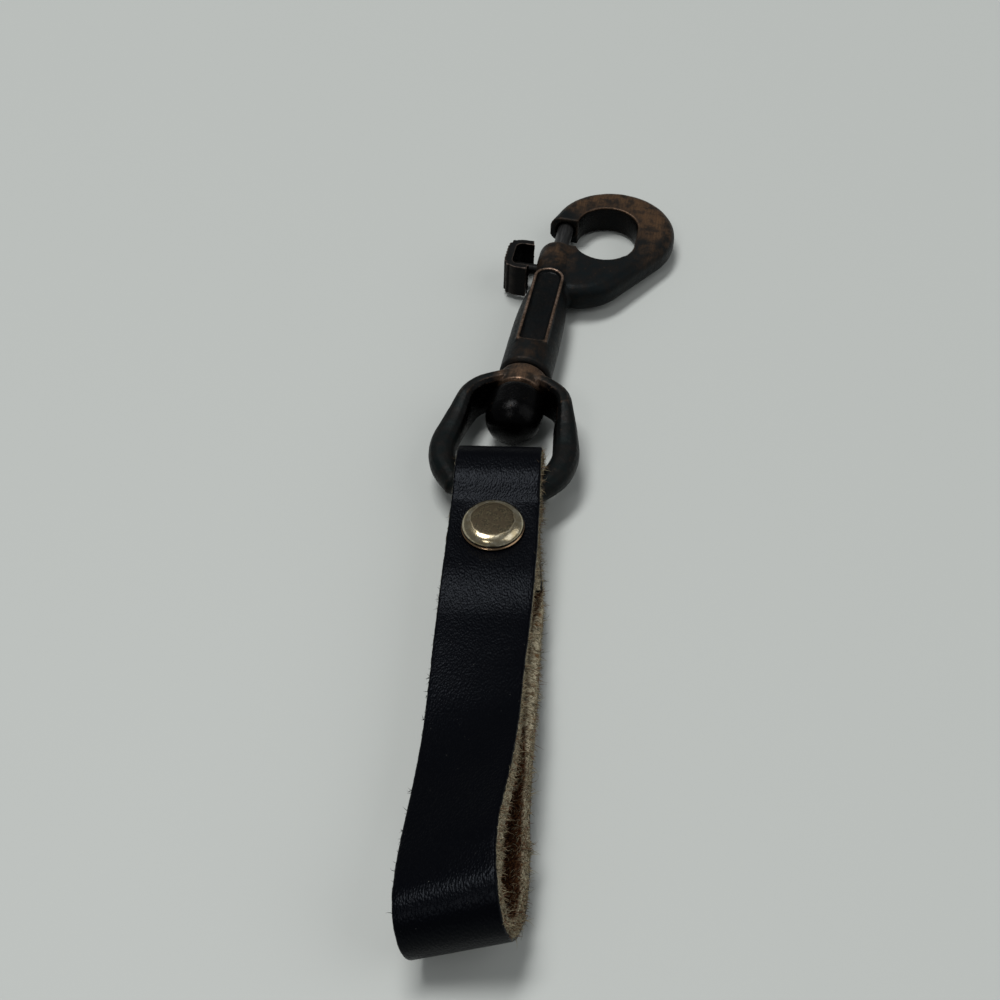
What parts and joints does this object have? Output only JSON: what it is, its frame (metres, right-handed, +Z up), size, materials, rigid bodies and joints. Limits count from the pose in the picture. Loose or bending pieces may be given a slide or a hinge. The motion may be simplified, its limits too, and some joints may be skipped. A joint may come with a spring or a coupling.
{
  "type": "swivel bolt snap hook on a riveted leather loop",
  "caption": "Cast bolt snap with a sprung thumb-knob bolt and a swivel eye, carrying a short riveted leather loop as a key or belt fob.",
  "frame": {"origin": "centre of the hook's opening, in the middle plane of the hook; the table that the part lies on is 2.95 mm below", "axes": "+Z up from the table; +Y along the snap from the leather loop towards the hook, dipping 1.8 degrees to the table; +X away from the bolt's side"},
  "size_m": [0.0312, 0.1518, 0.0148],
  "materials": {
    "cast_metal": "die-cast zinc with an antique copper finish, darkened, worn to copper on the edges",
    "spring_wire": "drawn spring wire",
    "strap_leather": "black grain leather with raw suede back and cut edges",
    "rivet_plate": "pressed, bright plated, tarnished in the middle"
  },
  "bodies": {
    "snap": {"hook_body": "cast_metal", "bolt_spring": "spring_wire"},
    "plunger": {"bolt": "cast_metal", "thumb_knob": "cast_metal"},
    "eye": {"swivel_eye": "cast_metal"},
    "loop": {"leather_strap": "strap_leather", "rivet_cap": "rivet_plate", "rivet_socket": "rivet_plate", "rivet_base": "rivet_plate", "rivet_post": "rivet_plate"}
  },
  "joints": [
    {"name": "bolt_slide", "type": "slide", "parent": "snap", "child": "plunger", "axis": [0, -0.9995, 0.0314], "range_m": [0, 0.0088], "stiffness_N_per_m": 400, "springref_m": -0.002, "deforming": ["bolt_spring"]},
    {"name": "swivel", "type": "hinge", "parent": "snap", "child": "eye", "pos_m": [-0.0076, -0.04107, 0.00145], "axis": [0, 0.9995, -0.0314], "continuous": true},
    {"name": "strap_swing", "type": "hinge", "parent": "eye", "child": "loop", "pos_m": [-0.0076, -0.06341, 0.00215], "axis": [0.9994, 0.0011, 0.0349], "range_deg": [-24, 24]}
  ]
}
